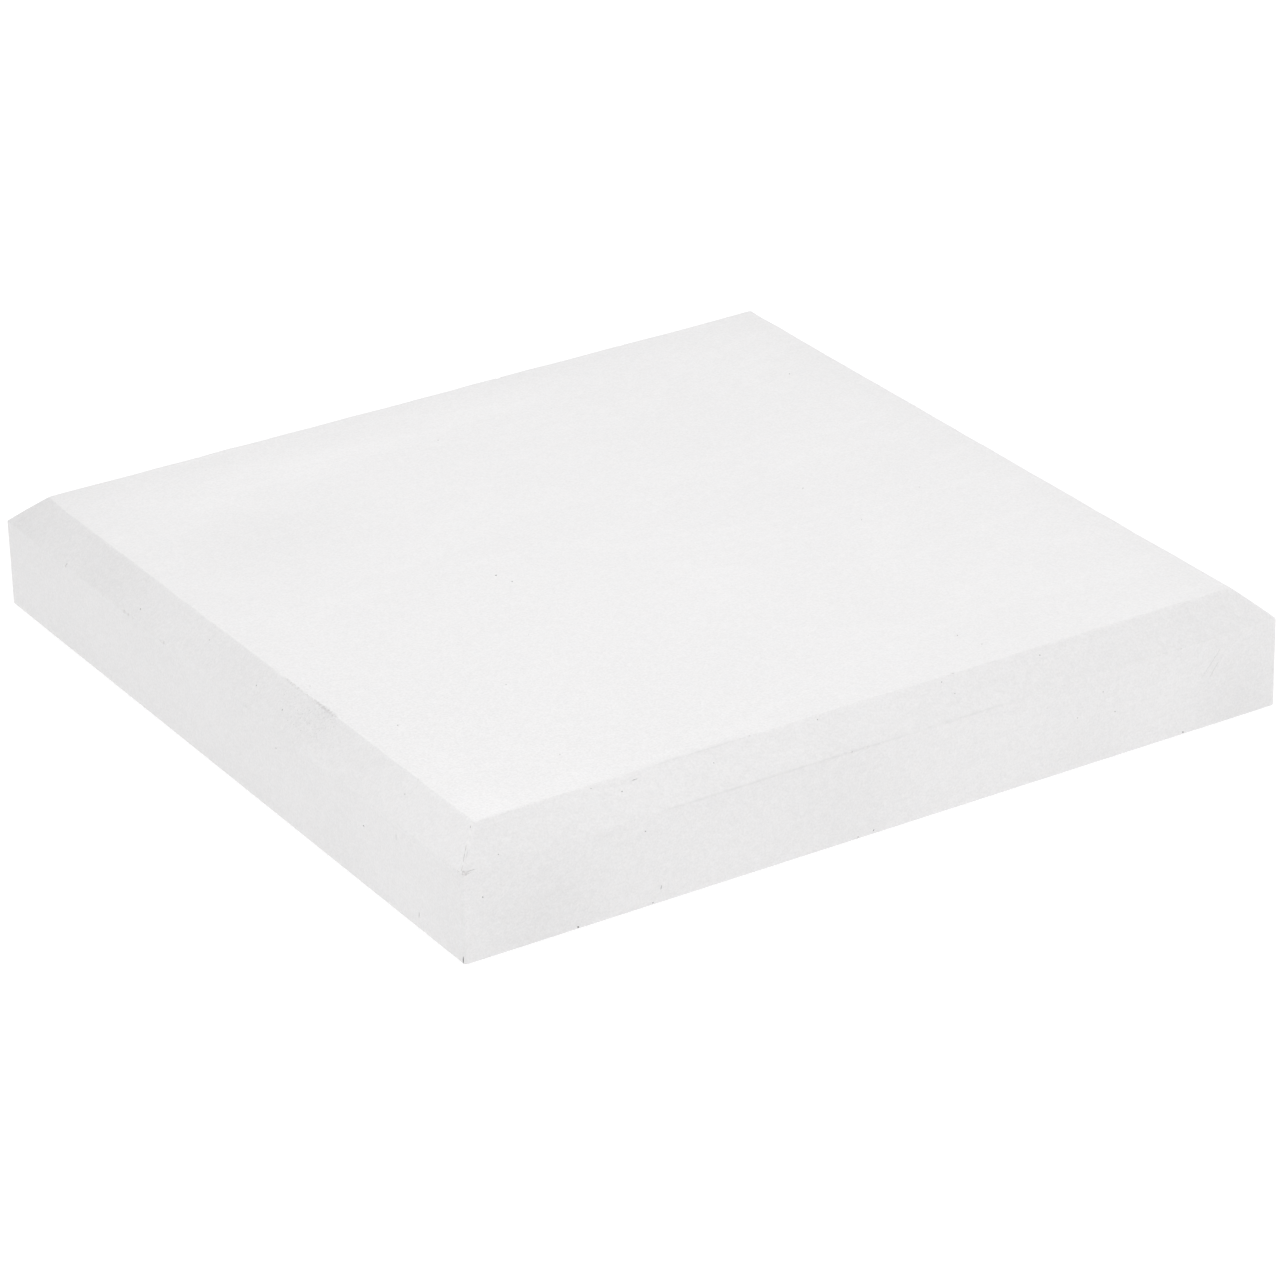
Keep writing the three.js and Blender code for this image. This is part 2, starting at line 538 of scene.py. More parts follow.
def scattered_pores():
    """Tiny pores everywhere, larger ones on the two hidden sides, and pits in the bruise, on
    the left bevel below the broken edge and on the top beside it."""
    found = []
    for _ in range(12):
        found.append(("top", *rng.uniform(-100, 100, 2), rng.uniform(0.05, 0.08)))
    for side in SIDES:
        size = 0.45 if side in SHOWN_SIDES else 1
        for _ in range(6):
            radius = rng.uniform(0.07, 0.12) * size
            found.append((side, rng.uniform(-108, 108), rng.uniform(3, 21), radius))
        for _ in range(3):
            found.append((side + "_bevel", rng.uniform(-100, 100), rng.uniform(0.2, 0.8), 0.09 * size))
    for side in HIDDEN_SIDES:
        for _ in range(8):
            found.append((side, rng.uniform(-108, 108), rng.uniform(3, 21), rng.uniform(0.12, 0.22)))
        for _ in range(6):
            found.append((side + "_bevel", rng.uniform(-100, 100), rng.uniform(0.2, 0.9), 0.16))
    for _ in range(30):
        found.append(("left_bevel", rng.normal(-38, 8), rng.uniform(0.30, 0.95), rng.uniform(0.04, 0.08)))
    for _ in range(6):
        found.append(("top", rng.uniform(-104, -92), rng.normal(-34, 7), rng.uniform(0.05, 0.09)))
    return found


def cut(stone, lumps):
    """Takes lumps that don't touch each other out of the stone."""
    cutters = bmesh.new()
    for lump in lumps:
        add_lump(cutters, *lump)
    mesh = bpy.data.meshes.new("cutters")
    cutters.to_mesh(mesh)
    cutters.free()
    for material in stone.data.materials:
        mesh.materials.append(material)
    tool = new_object("cutters", mesh)
    step = stone.modifiers.new("cut", "BOOLEAN")
    step.operation = "DIFFERENCE"
    step.solver = "MANIFOLD"
    step.object = tool
    graph = bpy.context.evaluated_depsgraph_get()
    result = bpy.data.meshes.new_from_object(stone.evaluated_get(graph), depsgraph=graph)
    stone.modifiers.clear()
    stone.data = result
    bpy.data.objects.remove(tool)


def shade(mesh, crease_degrees):
    """Smooth shading, with a hard line wherever two faces meet at more than the crease."""
    work = bmesh.new()
    work.from_mesh(mesh)
    crease = math.radians(crease_degrees)
    for face in work.faces:
        face.smooth = True
    for edge in work.edges:
        edge.smooth = edge.is_manifold and edge.calc_face_angle(0) < crease
    work.to_mesh(mesh)
    work.free()


# ---------------------------------------------------------------- painted masks


def segment_distance(points, start, end):
    """How far each point is from a straight line between two points, and how far along."""
    start, end = np.array(start, float), np.array(end, float)
    line = end - start
    share = np.clip((points - start) @ line / (line @ line), 0, 1)
    return np.linalg.norm(points - start - share[:, None] * line, axis=1), share


def noise_at(points, size, seed):
    """Smooth noise of about that size at each point, from 0 to 1."""
    shift = Vector((seed * 7.3, seed * 3.1, seed * 5.7))
    return np.array([0.5 + 0.5 * noise.noise(Vector(p) / size + shift) for p in points])


def dark_line_mask(points):
    """Darker lines along parts of both edges of the front bevel, and at the near corner."""
    strokes = [
        # start, end, width, strength, noise size
        ((-59, NEAR, BEVEL_FOOT), (41, NEAR, BEVEL_FOOT), 0.32, 0.16, 3),
        ((-18, NEAR, BEVEL_FOOT), (4, NEAR, BEVEL_FOOT), 0.32, 0.20, 3),
        ((NEAR, -114, BEVEL_FOOT), (NEAR + 3, NEAR, BEVEL_FOOT), 0.6, 0.10, 2),
        ((-62, NEAR, BEVEL_FOOT), (-42, NEAR, BEVEL_FOOT), 0.30, 0.14, 2),
        ((-64, NEAR + BEVEL_INSET, TOP), (-30, NEAR + BEVEL_INSET, TOP), 0.30, 0.16, 5),
    ]
    mask = np.zeros(len(points))
    for number, (start, end, width, strength, size) in enumerate(strokes):
        reach = 2.5 * width
        gap, share = segment_distance(points, start, end)
        near = np.flatnonzero(gap < reach)
        if not len(near):
            continue
        patchy = smooth_step(0.25, 0.75, noise_at(points[near], size, number + 1))
        fade = smooth_step(0, 0.15, share[near]) * smooth_step(0, 0.15, 1 - share[near])
        body = np.exp(-((gap[near] / width) ** 2))
        ends = 0.35 + 0.65 * fade
        mask[near] = np.maximum(mask[near], strength * body * ends * (0.35 + 0.65 * patchy))
    return mask


def bruise_mask(points, on_top):
    """Where the left top arris has been knocked: solid along the edge, strongest near its near
    end, and thinning out over the bevel and, more faintly, the top. A fainter patch lies beyond
    it, towards the near corner."""
    edge = NEAR + BEVEL_INSET
    gap, share = segment_distance(points, (edge, -18, TOP), (edge, -44, TOP))
    along = 0.50 + 0.50 * np.exp(-(((share - 0.84) / 0.17) ** 2))
    along *= smooth_step(0, 0.06, share) * smooth_step(0, 0.04, 1 - share)
    on_edge = along * np.exp(-((gap / 0.8) ** 2))
    spread = (points - np.array((edge - 3, -36, TOP - 2.5))) / np.array((8, 17, 7))
    beyond = (points - np.array((edge - 4, -68, TOP - 3.7))) / np.array((8, 24, 8))
    patch = np.maximum(0.44 * np.exp(-(spread**2).sum(1)), 0.27 * np.exp(-(beyond**2).sum(1)))
    return np.maximum(on_edge, np.where(on_top, 0.6 * patch, patch))


def dark_patch_mask(points):
    """Broad, faint darker patches, most of them low on the sides: centre, radius and strength
    of each patch.
    """
    patches = [
        ((NEAR + 4, -37, TOP - 2.5), 12, 0.36),
        ((NEAR + 4, 104, TOP - 3.7), 30, 0.62),
        ((NEAR + 4, 45, TOP - 3.7), 34, 0.35),
        ((-94, NEAR, UNDERSIDE + 5), 15, 1.00),
        ((-10, NEAR, UNDERSIDE + 9), 16, 0.50),
        ((96, NEAR, UNDERSIDE + 10), 9, 0.45),
        ((104, NEAR, UNDERSIDE + 4), 14, 0.80),
        ((60, NEAR, UNDERSIDE + 2), 16, 0.30),
        ((NEAR, -60, UNDERSIDE + 4), 16, 0.25),
        ((NEAR, 84, UNDERSIDE + 2), 20, 0.45),
        ((HALF_SIDE, 40, UNDERSIDE + 6), 18, 0.60),
        ((HALF_SIDE, -70, UNDERSIDE + 14), 14, 0.40),
        ((30, HALF_SIDE, UNDERSIDE + 8), 18, 0.60),
        ((-90, HALF_SIDE, UNDERSIDE + 4), 14, 0.70),
    ]
    mask = np.zeros(len(points))
    for centre, radius, strength in patches:
        gap = np.linalg.norm(points - np.array(centre), axis=1)
        mask = np.maximum(mask, strength * np.exp(-((gap / radius) ** 2)))
    return mask


def top_tone_and_highlight(points):
    """How much lighter or darker than the mean each part of the polished face is, with a painted
    highlight at the near tip.
    """
    x, y = points[:, 0], points[:, 1]
    edge = HALF_SIDE - BEVEL_INSET
    tip = np.hypot(x + edge, y + edge)
    # Lightest at the near tip, which is a painted highlight, darker along the far and the right edge
    # and in one cloud, and lighter in the middle
    tone = 0.004 + 0.036 * np.exp(-((tip / 13) ** 2)) + 0.008 * np.exp(-((tip / 60) ** 2))
    tone -= 0.022 * np.exp(-(((edge - y) / 10) ** 2))
    tone -= 0.020 * np.exp(-(((edge - x) / 10) ** 2))
    tone -= 0.024 * np.exp(-(((x + 72) / 22) ** 2) - ((y - 53) / 16) ** 2)
    tone += 0.009 * np.exp(-(((x + 15) / 34) ** 2) - ((y + 30) / 34) ** 2)
    # Light wisps by the far edge, and along both edges near the tip
    for start, end, width, strength in (
        ((-93, 91), (-56, 65), 4, 0.010),
        ((-46, 84), (24, 90), 5, 0.010),
        ((-80, 80), (-40, 88), 7, 0.006),
        ((-98, -70), (-98, -103), 3, 0.008),
        ((-100, -103), (-70, -104), 3, 0.008),
    ):
        gap, _ = segment_distance(points[:, :2], start, end)
        tone += strength * np.exp(-((gap / width) ** 2))
    return tone


def side_tone_and_highlight(points, on_bevel):
    """How much lighter or darker than the mean each part of the sides and bevels is, with a painted
    highlight along the left bevel's foot.
    """
    tone = np.zeros(len(points))
    furthest = np.abs(points[:, :2]).max(1)
    for side, is_bevel, middle, reach, amount in SIDE_TONES:
        out, direction = (np.array(axis) for axis in SIDES[side])
        here = (points @ out >= furthest - 1e-6) & (on_bevel == is_bevel)
        stretch = np.exp(-(((points @ direction - middle) / reach) ** 2))
        tone += np.where(here, amount * stretch, 0)
    # A painted highlight along the left bevel's foot, where light would catch its eased edge
    highlight_gap, _ = segment_distance(points, (NEAR, -42, BEVEL_FOOT), (NEAR, -56, BEVEL_FOOT))
    return tone + 0.022 * np.exp(-((highlight_gap / 0.6) ** 2))


def arris_mask(points):
    """1 on every ground edge of the slab, falling to 0 within about a millimetre."""
    width = 0.8
    elsewhere = 9  # added where an edge's line runs on past its end
    across = HALF_SIDE - np.abs(points[:, :2])
    inset = across.min(1)
    height = points[:, 2]
    corner = np.hypot(across[:, 0], across[:, 1])
    mitre = np.abs(across[:, 0] - across[:, 1]) / math.sqrt(2)
    gaps = np.stack([
        np.hypot(inset - BEVEL_INSET, height - TOP),
        np.hypot(inset, height - BEVEL_FOOT),
        np.hypot(inset, height - UNDERSIDE),
        corner + np.where(height < BEVEL_FOOT, 0, elsewhere),
        mitre + np.where((inset < BEVEL_INSET) & (height > BEVEL_FOOT), 0, elsewhere),
    ])
    return np.exp(-((gaps.min(0) / width) ** 2))


def paint(mesh, name, values):
    """Stores a value for each of the mesh's points, for a material to read by name."""
    layer = mesh.attributes.new(name, "FLOAT", "POINT")
    layer.data.foreach_set("value", np.asarray(values, np.float32))


# ---------------------------------------------------------------- materials


class Nodes:
    """Short calls for the nodes that a procedural material is made of."""

    def __init__(self, tree):
        self.tree = tree
        tree.nodes.clear()

    def add(self, kind, inputs=(), **settings):
        """A new node. An input is linked if it is given a socket, and set if given a value."""
        node = self.tree.nodes.new(kind)
        for key, value in settings.items():
            setattr(node, key, value)
        for key, value in dict(inputs).items():
            if isinstance(value, bpy.types.NodeSocket):
                self.tree.links.new(value, node.inputs[key])
            else:
                node.inputs[key].default_value = value
        return node

    def math(self, operation, first, second=0.0):
        return self.add("ShaderNodeMath", {0: first, 1: second}, operation=operation).outputs[0]

    def product(self, first, *others):
        """All the values multiplied together."""
        result = first
        for value in others:
            result = self.math("MULTIPLY", result, value)
        return result

    def millimetres(self, stretch=(1, 1, 1)):
        """The point on the piece, in millimetres, each axis multiplied by stretch."""
        place = self.add("ShaderNodeTexCoord").outputs["Object"]
        factor = tuple(value / MM for value in stretch)
        return self.add("ShaderNodeVectorMath", {0: place, 1: factor}, operation="MULTIPLY").outputs[0]

    def noise(self, size, detail=2.0, roughness=0.5, distortion=0.0, stretch=(1, 1, 1)):
        """Smooth noise with features of about that size in millimetres."""
        return self.add(
            "ShaderNodeTexNoise",
            {
                "Vector": self.millimetres(stretch),
                "Scale": 1 / size,
                "Detail": detail,
                "Roughness": roughness,
                "Distortion": distortion,
            },
        ).outputs["Fac"]

    def cells(self, size):
        """A random value for each crystal of about that size."""
        cells = self.add("ShaderNodeTexVoronoi", {"Vector": self.millimetres(), "Scale": 1 / size})
        return self.add("ShaderNodeSeparateColor", {0: cells.outputs["Color"]}).outputs[0]

    def ramp(self, value, low, high, to_low=0.0, to_high=1.0):
        """value carried from low..high to to_low..to_high, held at both ends."""
        return self.add(
            "ShaderNodeMapRange",
            {"Value": value, "From Min": low, "From Max": high, "To Min": to_low, "To Max": to_high},
            interpolation_type="SMOOTHSTEP",
        ).outputs["Result"]

    def attribute(self, name):
        """The value painted on the mesh's points under that name."""
        return self.add("ShaderNodeAttribute", attribute_name=name).outputs["Fac"]

    def shift(self, value, amount):
        """amount times how far value, which runs from 0 to 1, is from its middle."""
        return self.product(self.math("SUBTRACT", value, 0.5), amount)

    def vary(self, value, amount):
        """A factor that follows value, and is 1 at its middle."""
        return self.math("ADD", self.shift(value, amount), 1.0)

    def by_finish(self, ground, polished, honed):
        """One amount on the polished face and another on the ground bevels and sides."""
        return self.ramp(ground, 0, 1, polished, honed)

    def total(self, values, start=0.0):
        """start with all the values added to it."""
        result = start
        for value in values:
            result = self.math("ADD", value, result)
        return result

    def tint(self, colour, factor):
        """A colour made lighter or darker by a factor that varies."""
        return self.add("ShaderNodeVectorMath", {0: colour, "Scale": factor}, operation="SCALE").outputs[0]

    def mix(self, factor, first, second):
        """A colour between first, where factor is 0, and second, where it is 1."""
        node = self.add("ShaderNodeMix", {0: factor, 6: first, 7: second}, data_type="RGBA")
        return node.outputs[2]

    def bump(self, height, depth):
        """Relief of that depth in millimetres where height runs from 0 to 1."""
        inputs = {"Height": height, "Distance": depth * MM, "Strength": 1.0}
        return self.add("ShaderNodeBump", inputs).outputs[0]

    def finish(self, colour, roughness, normal, **constants):
        """The material's surface. Constants name its sockets, with _ for each space."""
        links = {"Base Color": colour, "Roughness": roughness, "Normal": normal}
        surface = self.add("ShaderNodeBsdfPrincipled", links)
        for key, value in constants.items():
            surface.inputs[key.replace("_", " ")].default_value = value
        output = self.add("ShaderNodeOutputMaterial")
        self.tree.links.new(surface.outputs[0], output.inputs["Surface"])
        return surface


def new_material(name):
    material = bpy.data.materials.new(name)
    material.use_nodes = True
    return material, Nodes(material.node_tree)


WARM_STONE = (0.785, 0.772, 0.767, 1)
COOL_STONE = (0.771, 0.770, 0.779, 1)
BROKEN_STONE = (0.78, 0.77, 0.767)
DARK_MARK = (0.30, 0.30, 0.31, 1)
PORE_DUST = (0.30, 0.295, 0.293)
CRACK_WALL = (0.52, 0.512, 0.51)
RUBBER = (0.045, 0.045, 0.047)
RUBBER_DUST = (0.35, 0.35, 0.34, 1)
FILM = (0.55, 0.54, 0.50)


def stone_material():
    """White stone: fine sugary grain, soft clouds and wisps, a polished top, and honed bevels
    and sides with faint grinding lines along them. The polished face's grain is strongest at
    the near corner."""
    material, n = new_material("white_stone")
    grain = n.noise(0.55, detail=3, roughness=0.7)
    coarse = n.noise(2.2, detail=2, roughness=0.6)
    crystals = n.cells(1.3)
    hue = n.noise(1.6, detail=4, roughness=0.7)
    clouds = n.noise(34, detail=5, roughness=0.55, distortion=0.6)
    wisp_noise = n.noise(60, detail=4, roughness=0.5, distortion=1.2, stretch=(0.55, 1.6, 1.6))
    wisps = n.ramp(n.math("ABSOLUTE", n.math("SUBTRACT", wisp_noise, 0.52)), 0.0, 0.05, 1.0, 0.0)
    lines = n.noise(1.1, detail=3, roughness=0.6, stretch=(0.03, 0.03, 1.4))
    dark_lines = n.attribute("dark_lines")
    bruise = n.attribute("bruise")
    dark_patches = n.attribute("dark_patches")
    arris = n.attribute("arris")
    polish = n.attribute("polish")
    ground = n.math("SUBTRACT", 1.0, polish)
    near_corner = (NEAR, NEAR, TOP)
    apart = n.add("ShaderNodeVectorMath", {0: n.millimetres(), 1: near_corner}, operation="DISTANCE")
    polished_grain = n.ramp(apart.outputs["Value"], 10, 170, 0.37, 0.26)

    tone = n.total(
        [
            n.shift(grain, n.by_finish(ground, polished_grain, 0.25)),
            n.shift(coarse, n.by_finish(ground, 0.012, 0.015)),
            n.shift(crystals, n.by_finish(ground, 0.018, 0.028)),
            n.shift(clouds, 0.026),
            n.product(wisps, polish, 0.010),
            n.product(n.shift(lines, 0.03), ground),
            n.product(arris, -0.002),
            # Broad, faint darker patches, most of them low on the sides
            n.product(dark_patches, n.ramp(coarse, 0.2, 0.8, 0.9, 1.0), -0.055),
            # Tone painted on the mesh, which holds painted highlights at the near tip of the top and along
            # the left bevel's foot
            n.attribute("tone"),
        ],
        1.0,
    )
    tinted = n.mix(hue, WARM_STONE, COOL_STONE)
    clean = n.tint(tinted, tone)
    specks = n.noise(0.5, detail=3, roughness=0.75)
    speckled = n.ramp(n.total([n.product(bruise, 0.45)], specks), 0.71, 0.80)
    marked = n.product(speckled, n.ramp(bruise, 0.03, 0.15, 0.0, 0.14))
    # Darker lines along parts of the front bevel's edges and at the near corner
    darkening = n.product(dark_lines, n.ramp(grain, 0.25, 0.6, 0.6, 1.0))
    colour = n.mix(n.math("MAXIMUM", darkening, marked), clean, DARK_MARK)

    # Everywhere above 0.28: where it crosses about 0.27 the render's denoiser changes its mind
    # about the stone's grain, and the top turns patchy
    roughness = n.total(
        [
            n.shift(n.noise(18, detail=3), 0.08),
            n.shift(grain, 0.04),
            n.product(ground, 0.17),
            n.product(arris, 0.04),
        ],
        0.34,
    )
    relief = n.total([
        n.product(grain, n.by_finish(ground, 0.25, 0.65)),
        n.product(lines, ground, 0.45),
    ])
    normal = n.bump(relief, 0.012)
    n.finish(
        colour,
        roughness,
        normal,
        IOR=1.5,
        Subsurface_Weight=0.12,
        Subsurface_Scale=1.5 * MM,
        Subsurface_Radius=(1.0, 0.95, 0.9),
    )
    return material


def break_material():
    """A break in the stone: duller than the ground faces, with a rough crystalline surface,
    and dirty where the edge has been bruised."""
    material, n = new_material("stone_break")
    grain = n.noise(0.22, detail=4, roughness=0.75)
    crystals = n.cells(0.5)
    tone = n.total([n.shift(grain, 0.30), n.shift(crystals, 0.14)], 1.0)
    clean = n.tint(BROKEN_STONE, tone)
    darkening = n.product(n.attribute("bruise"), n.ramp(grain, 0.3, 0.7, 0.0, 0.22))
    colour = n.mix(darkening, clean, DARK_MARK)
    roughness = n.ramp(crystals, 0, 1, 0.5, 0.8)
    n.finish(colour, roughness, n.bump(n.total([grain, crystals]), 0.06), IOR=1.5)
    return material


def pit_material():
    """Dust packed in an open pore."""
    material, n = new_material("pore_dust")
    grain = n.noise(0.12, detail=3, roughness=0.7)
    colour = n.tint(PORE_DUST, n.vary(grain, 0.7))
    n.finish(colour, n.ramp(grain, 0, 1, 0.7, 0.95), n.bump(grain, 0.03), IOR=1.5)
    return material


def crack_material():
    """The shaded, slightly dirty walls of a hairline crack."""
    material, n = new_material("crack_wall")
    grain = n.noise(0.2, detail=3, roughness=0.7)
    colour = n.tint(CRACK_WALL, n.vary(grain, 0.5))
    n.finish(colour, n.ramp(grain, 0, 1, 0.6, 0.85), n.bump(grain, 0.02), IOR=1.5)
    return material


def rubber_material():
    """Dark matte rubber with a moulded skin and a little stone dust on it."""
    material, n = new_material("grey_rubber")
    skin = n.noise(0.25, detail=3, roughness=0.6)
    dust = n.ramp(n.noise(2.4, detail=4, roughness=0.65), 0.5, 0.8)
    dark = n.tint(RUBBER, n.vary(skin, 0.3))
    colour = n.mix(n.product(dust, 0.22), dark, RUBBER_DUST)
    roughness = n.total([n.shift(skin, 0.15), n.product(dust, 0.12)], 0.74)
    n.finish(colour, roughness, n.bump(skin, 0.02), IOR=1.45)
    return material


def film_material():
    """The milky edge of the foot's adhesive layer."""
    material, n = new_material("adhesive_film")
    streaks = n.noise(0.8, detail=2, roughness=0.5)
    colour = n.tint(FILM, n.vary(streaks, 0.25))
    n.finish(colour, n.ramp(streaks, 0, 1, 0.3, 0.5), n.bump(streaks, 0.02), IOR=1.47)
    return material


# ---------------------------------------------------------------- the pieces


def build_stone():
    stone = new_object("slab_stone", block_mesh())
    for material in (stone_material(), break_material(), pit_material(), crack_material()):
        stone.data.materials.append(material)

    surface = BVHTree.FromObject(stone, bpy.context.evaluated_depsgraph_get())
    lumps = [edge_chip(surface, *chip) for chip in EDGE_CHIPS + scattered_chips()]
    lumps += [pore(surface, *place) for place in PORES + scattered_pores()]
    lumps += [crack(surface, *line) for line in corner_cracks() + OTHER_CRACKS]
    for group in separate_passes(lumps):
        cut(stone, group)
    shade(stone.data, STONE_CREASE)

    points = np.empty(len(stone.data.vertices) * 3)
    stone.data.vertices.foreach_get("co", points)
    points = points.reshape(-1, 3) / MM
    inset = HALF_SIDE - np.abs(points[:, :2]).max(1)
    # The polish runs a little way over the eased arris
    on_top = (points[:, 2] > TOP - 0.3) & (inset > BEVEL_INSET - 0.2)
    on_bevel = ~on_top & (points[:, 2] > BEVEL_FOOT)
    # Darker lines along parts of the front bevel's edges and at the near corner
    paint(stone.data, "dark_lines", dark_line_mask(points))
    paint(stone.data, "bruise", bruise_mask(points, on_top))
    # Broad, faint darker patches, most of them low on the sides
    paint(stone.data, "dark_patches", dark_patch_mask(points))
    paint(stone.data, "arris", arris_mask(points))
    paint(stone.data, "polish", on_top.astype(float))
    # The tone holds painted highlights, at the near tip of the top and along the left bevel's foot
    paint(stone.data, "tone", np.where(on_top, top_tone_and_highlight(points), side_tone_and_highlight(points, on_bevel)))

    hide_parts("stone_slab")
    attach(stone, "root")


def foot_profile(radius, height, film):
    """Outline of a foot from the middle of its sole to the middle of its glued face, as
    (radius, height) and the slot of the band that follows."""
    rubber, glue = 0, 1
    groove_at, groove_wide, groove_deep = radius * 0.68, 0.9, 0.22
    rim, lean, bulge = 0.4, 0.25, 0.10  # the sole's rounded edge, and the wall's slope and swell
    ease, film_inset = 0.12, 0.3
    steps = 6
    sole = radius - lean - rim
    outline = [(0.0, 0.0, rubber), (groove_at - groove_wide, 0.0, rubber)]
    for step in range(1, steps):
        angle = math.pi * step / steps
        across = groove_at - groove_wide / 2 * (1 + math.cos(angle))
        outline.append((across, groove_deep * math.sin(angle), rubber))
    outline.append((groove_at, 0.0, rubber))
    for step in range(steps + 1):
        angle = math.pi / 2 * step / steps
        outline.append((sole + rim * math.sin(angle), rim * (1 - math.cos(angle)), rubber))
    for step in range(1, steps):
        share = step / steps
        out = radius - lean * (1 - share) + bulge * math.sin(math.pi * share)
        outline.append((out, rim + (height - rim - ease) * share, rubber))
    outline.append((radius, height - ease, rubber))
    outline.append((radius - ease / 3, height - ease / 3, rubber))
    outline.append((radius - ease, height, rubber))
    outline.append((radius - film_inset, height, glue))
    outline.append((radius - film_inset, height + film, glue))
    outline.append((0.0, height + film, glue))
    return outline


def build_foot(node, materials):
    low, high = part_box(node)
    centre = (low + high) / 2 / MM
    radius = (high.x - low.x) / 2 / MM
    height = high.z / MM
    outline = foot_profile(radius, height, UNDERSIDE - height)
    points = [(centre.x, centre.y, outline[0][1])]
    for out, up, _ in outline[1:-1]:
        for k in range(FOOT_TURNS):
            angle = 2 * math.pi * k / FOOT_TURNS
            points.append((centre.x + out * math.cos(angle), centre.y + out * math.sin(angle), up))
    points.append((centre.x, centre.y, outline[-1][1]))
    last = len(points) - 1
    rings = len(outline) - 2
    faces, slots = [], []
    for k in range(FOOT_TURNS):
        after = (k + 1) % FOOT_TURNS
        faces.append((0, 1 + after, 1 + k))
        slots.append(outline[0][2])
        for ring in range(rings - 1):
            low_ring, high_ring = 1 + ring * FOOT_TURNS, 1 + (ring + 1) * FOOT_TURNS
            faces.append((low_ring + k, low_ring + after, high_ring + after, high_ring + k))
            slots.append(outline[ring + 1][2])
        top_ring = 1 + (rings - 1) * FOOT_TURNS
        faces.append((top_ring + k, top_ring + after, last))
        slots.append(outline[-1][2])
    mesh = mesh_from(node, points, faces)
    for material in materials:
        mesh.materials.append(material)
    mesh.polygons.foreach_set("material_index", slots)
    shade(mesh, FOOT_CREASE)
    foot = new_object(node.replace("foot", "rubber_foot"), mesh)
    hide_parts(node)
    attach(foot, "root")


# ---------------------------------------------------------------- stage, light, camera


# The studio's brightness by the sine of the elevation, and the lean that makes one side of
# its upper part brighter: per unit of x and y in the direction looked at
SKY_LEVELS = ((0.0, 1.0), (0.05, 1.0), (0.22, 0.97), (0.6, 0.94), (0.85, 0.82), (1.0, 0.5))
SKY_LEAN = (0.45, 0.24)

# The floor glows, and less so under the slab. GLOW_FADES_FROM and GLOW_FADES_TO are how far in
# from the slab's sides that change begins and ends.
FLOOR_REACH = 8 / MM  # 8 m each way
FLOOR_ALBEDO = 0.38
FLOOR_GLOW = 0.72
FLOOR_GLOW_UNDER = 0.35  # of the full glow
GLOW_FADES_FROM, GLOW_FADES_TO = 4, 14

# The lamp, in metres and watts
LAMP_PLACE = (-0.1, -0.16, 0.8)
LAMP_SIZE = 0.5
LAMP_POWER = 1.76

# The view: azimuth 0 looks along +Y, and elevation is above the horizon. The lens is in
# millimetres, and every other length here is in metres.
SLAB_WIDTH = 2 * HALF_SIDE * MM
VIEW_AZIMUTH = math.radians(-31.41)
VIEW_ELEVATION = math.radians(25.99)
VIEW_ROLL = math.radians(-1.45)
VIEW_DISTANCE = 5.875 * SLAB_WIDTH
VIEW_LENS = 154.45
VIEW_FAR_CLIP = 100
VIEW_AIM = Vector((-0.044, -0.098, 0)) * SLAB_WIDTH + Vector((0, 0, (TOP + UNDERSIDE) / 2 * MM))


def floor_material():
    """A pale, plain floor with a soft glow of its own, which is weaker under the slab."""
    material, n = new_material("pale_floor")
    mottle = n.noise(40, detail=3)
    colour = n.tint((FLOOR_ALBEDO,) * 3, n.vary(mottle, 0.01))
    roughness = n.ramp(mottle, 0, 1, 0.85, 0.95)
    surface = n.finish(colour, roughness, n.bump(mottle, 0.01), Emission_Color=(1, 1, 1, 1))
    place = n.add("ShaderNodeVectorMath", {0: n.millimetres()}, operation="ABSOLUTE").outputs[0]
    apart = n.add("ShaderNodeSeparateXYZ", {0: place})
    from_middle = n.math("MAXIMUM", apart.outputs["X"], apart.outputs["Y"])
    dim, bright = HALF_SIDE - GLOW_FADES_TO, HALF_SIDE - GLOW_FADES_FROM
    lit = n.ramp(from_middle, dim, bright, FLOOR_GLOW_UNDER, 1.0)
    n.tree.links.new(n.product(lit, FLOOR_GLOW), surface.inputs["Emission Strength"])
    return material


def build_stage():
    corners = [(x * FLOOR_REACH, y * FLOOR_REACH, 0) for x, y in ((-1, -1), (1, -1), (1, 1), (-1, 1))]
    floor = new_object("floor", mesh_from("floor", corners, [(0, 1, 2, 3)]))
    floor.data.materials.append(floor_material())


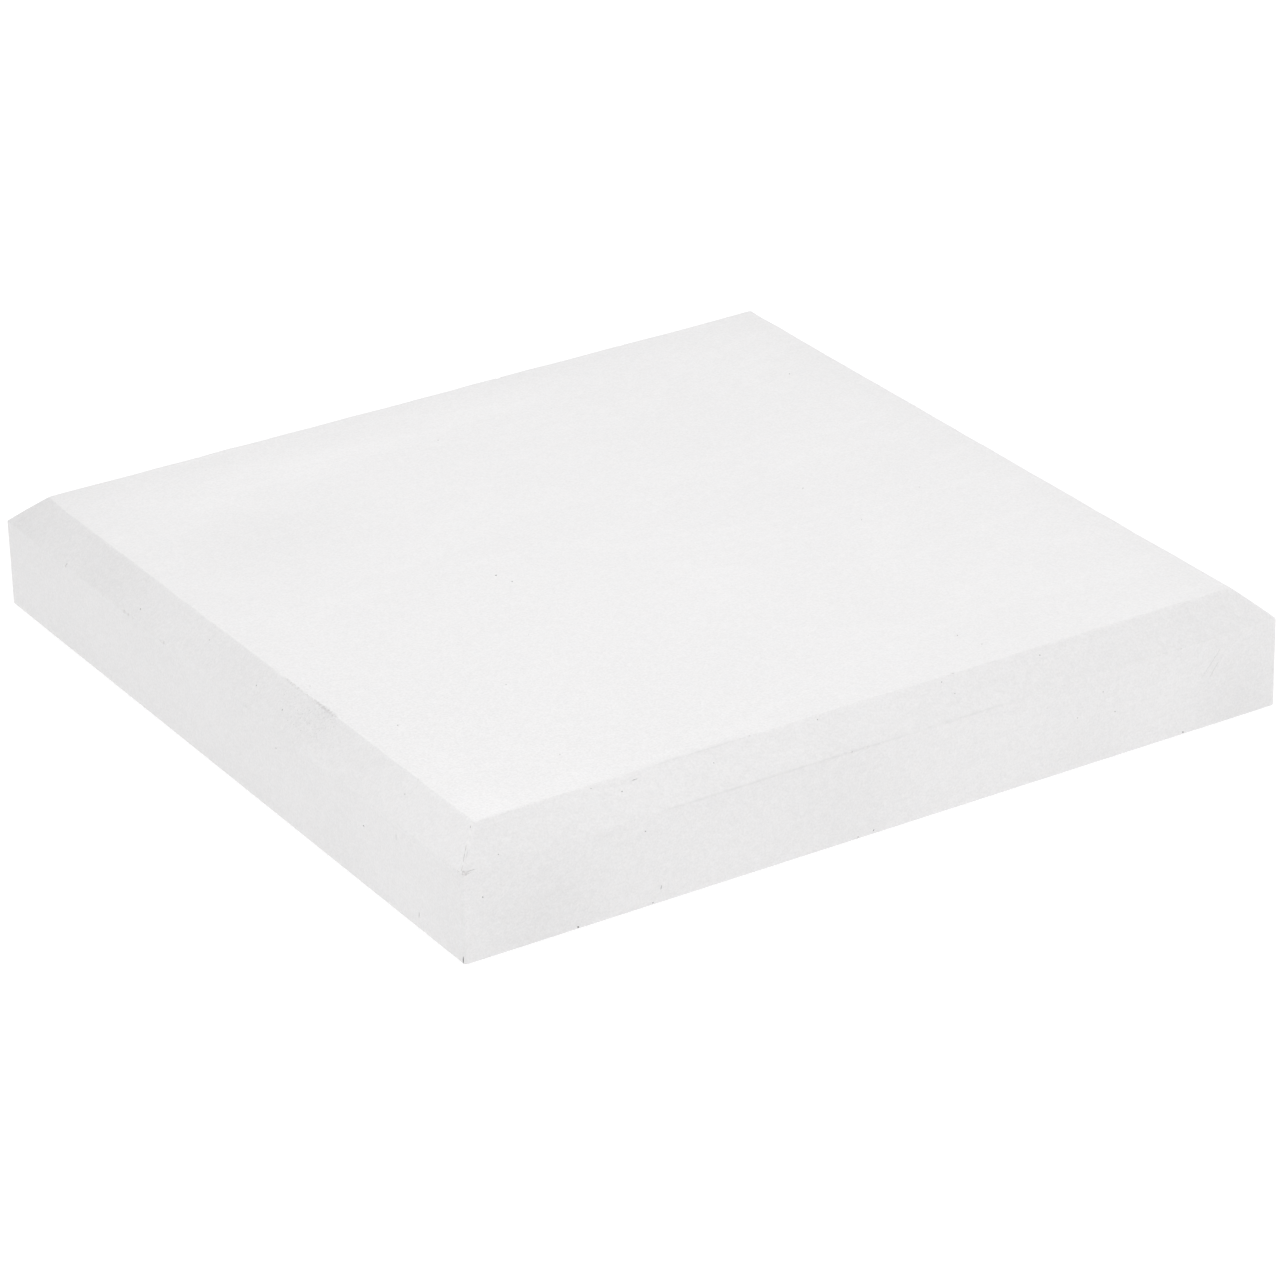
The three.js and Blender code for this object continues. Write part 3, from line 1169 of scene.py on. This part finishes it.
def build_world():
    """A white studio: brightest at the horizon, and dimmer straight overhead, where the lamp
    is."""
    world = bpy.data.worlds.new("studio")
    bpy.context.scene.world = world
    world.use_nodes = True
    n = Nodes(world.node_tree)
    direction = n.add("ShaderNodeTexCoord").outputs["Generated"]
    height = n.add("ShaderNodeSeparateXYZ", {0: direction}).outputs["Z"]
    ramp = n.add("ShaderNodeValToRGB", {0: height})
    stops = ramp.color_ramp.elements
    while len(stops) < len(SKY_LEVELS):
        stops.new(0.5)
    for stop, (position, level) in zip(stops, SKY_LEVELS):
        stop.position = position
        stop.color = (level, level, level, 1)
    lean = n.add("ShaderNodeVectorMath", {0: direction, 1: (*SKY_LEAN, 0)}, operation="DOT_PRODUCT")
    strength = n.total([n.product(lean.outputs["Value"], height)], 1.0)
    background = n.add("ShaderNodeBackground", {"Color": ramp.outputs[0], "Strength": strength})
    output = n.add("ShaderNodeOutputWorld")
    n.tree.links.new(background.outputs[0], output.inputs["Surface"])


def add_softbox(name, place, size, power):
    """A square soft light that faces the slab."""
    data = bpy.data.lights.new(name, "AREA")
    data.shape = "SQUARE"
    data.size = size
    data.energy = power
    lamp = bpy.data.objects.new(name, data)
    lamp.location = place
    lamp.rotation_mode = "QUATERNION"
    lamp.rotation_quaternion = (-Vector(place)).to_track_quat("-Z", "Y")
    bpy.context.scene.collection.objects.link(lamp)


def build_camera():
    data = bpy.data.cameras.new("view")
    data.lens = VIEW_LENS
    data.clip_end = VIEW_FAR_CLIP
    camera = bpy.data.objects.new("view", data)
    back = Vector((
        math.sin(VIEW_AZIMUTH) * math.cos(VIEW_ELEVATION),
        -math.cos(VIEW_AZIMUTH) * math.cos(VIEW_ELEVATION),
        math.sin(VIEW_ELEVATION),
    ))
    camera.location = VIEW_AIM + back * VIEW_DISTANCE
    camera.rotation_mode = "QUATERNION"
    level = (-back).to_track_quat("-Z", "Y")
    camera.rotation_quaternion = level @ Quaternion((0, 0, 1), VIEW_ROLL)
    bpy.context.scene.collection.objects.link(camera)
    bpy.context.scene.camera = camera


build_camera()
build_stage()
build_world()
add_softbox("overhead", LAMP_PLACE, LAMP_SIZE, LAMP_POWER)
bpy.context.scene.view_settings.view_transform = "Standard"

build_stone()
foot_materials = (rubber_material(), film_material())
for node in FEET:
    build_foot(node, foot_materials)
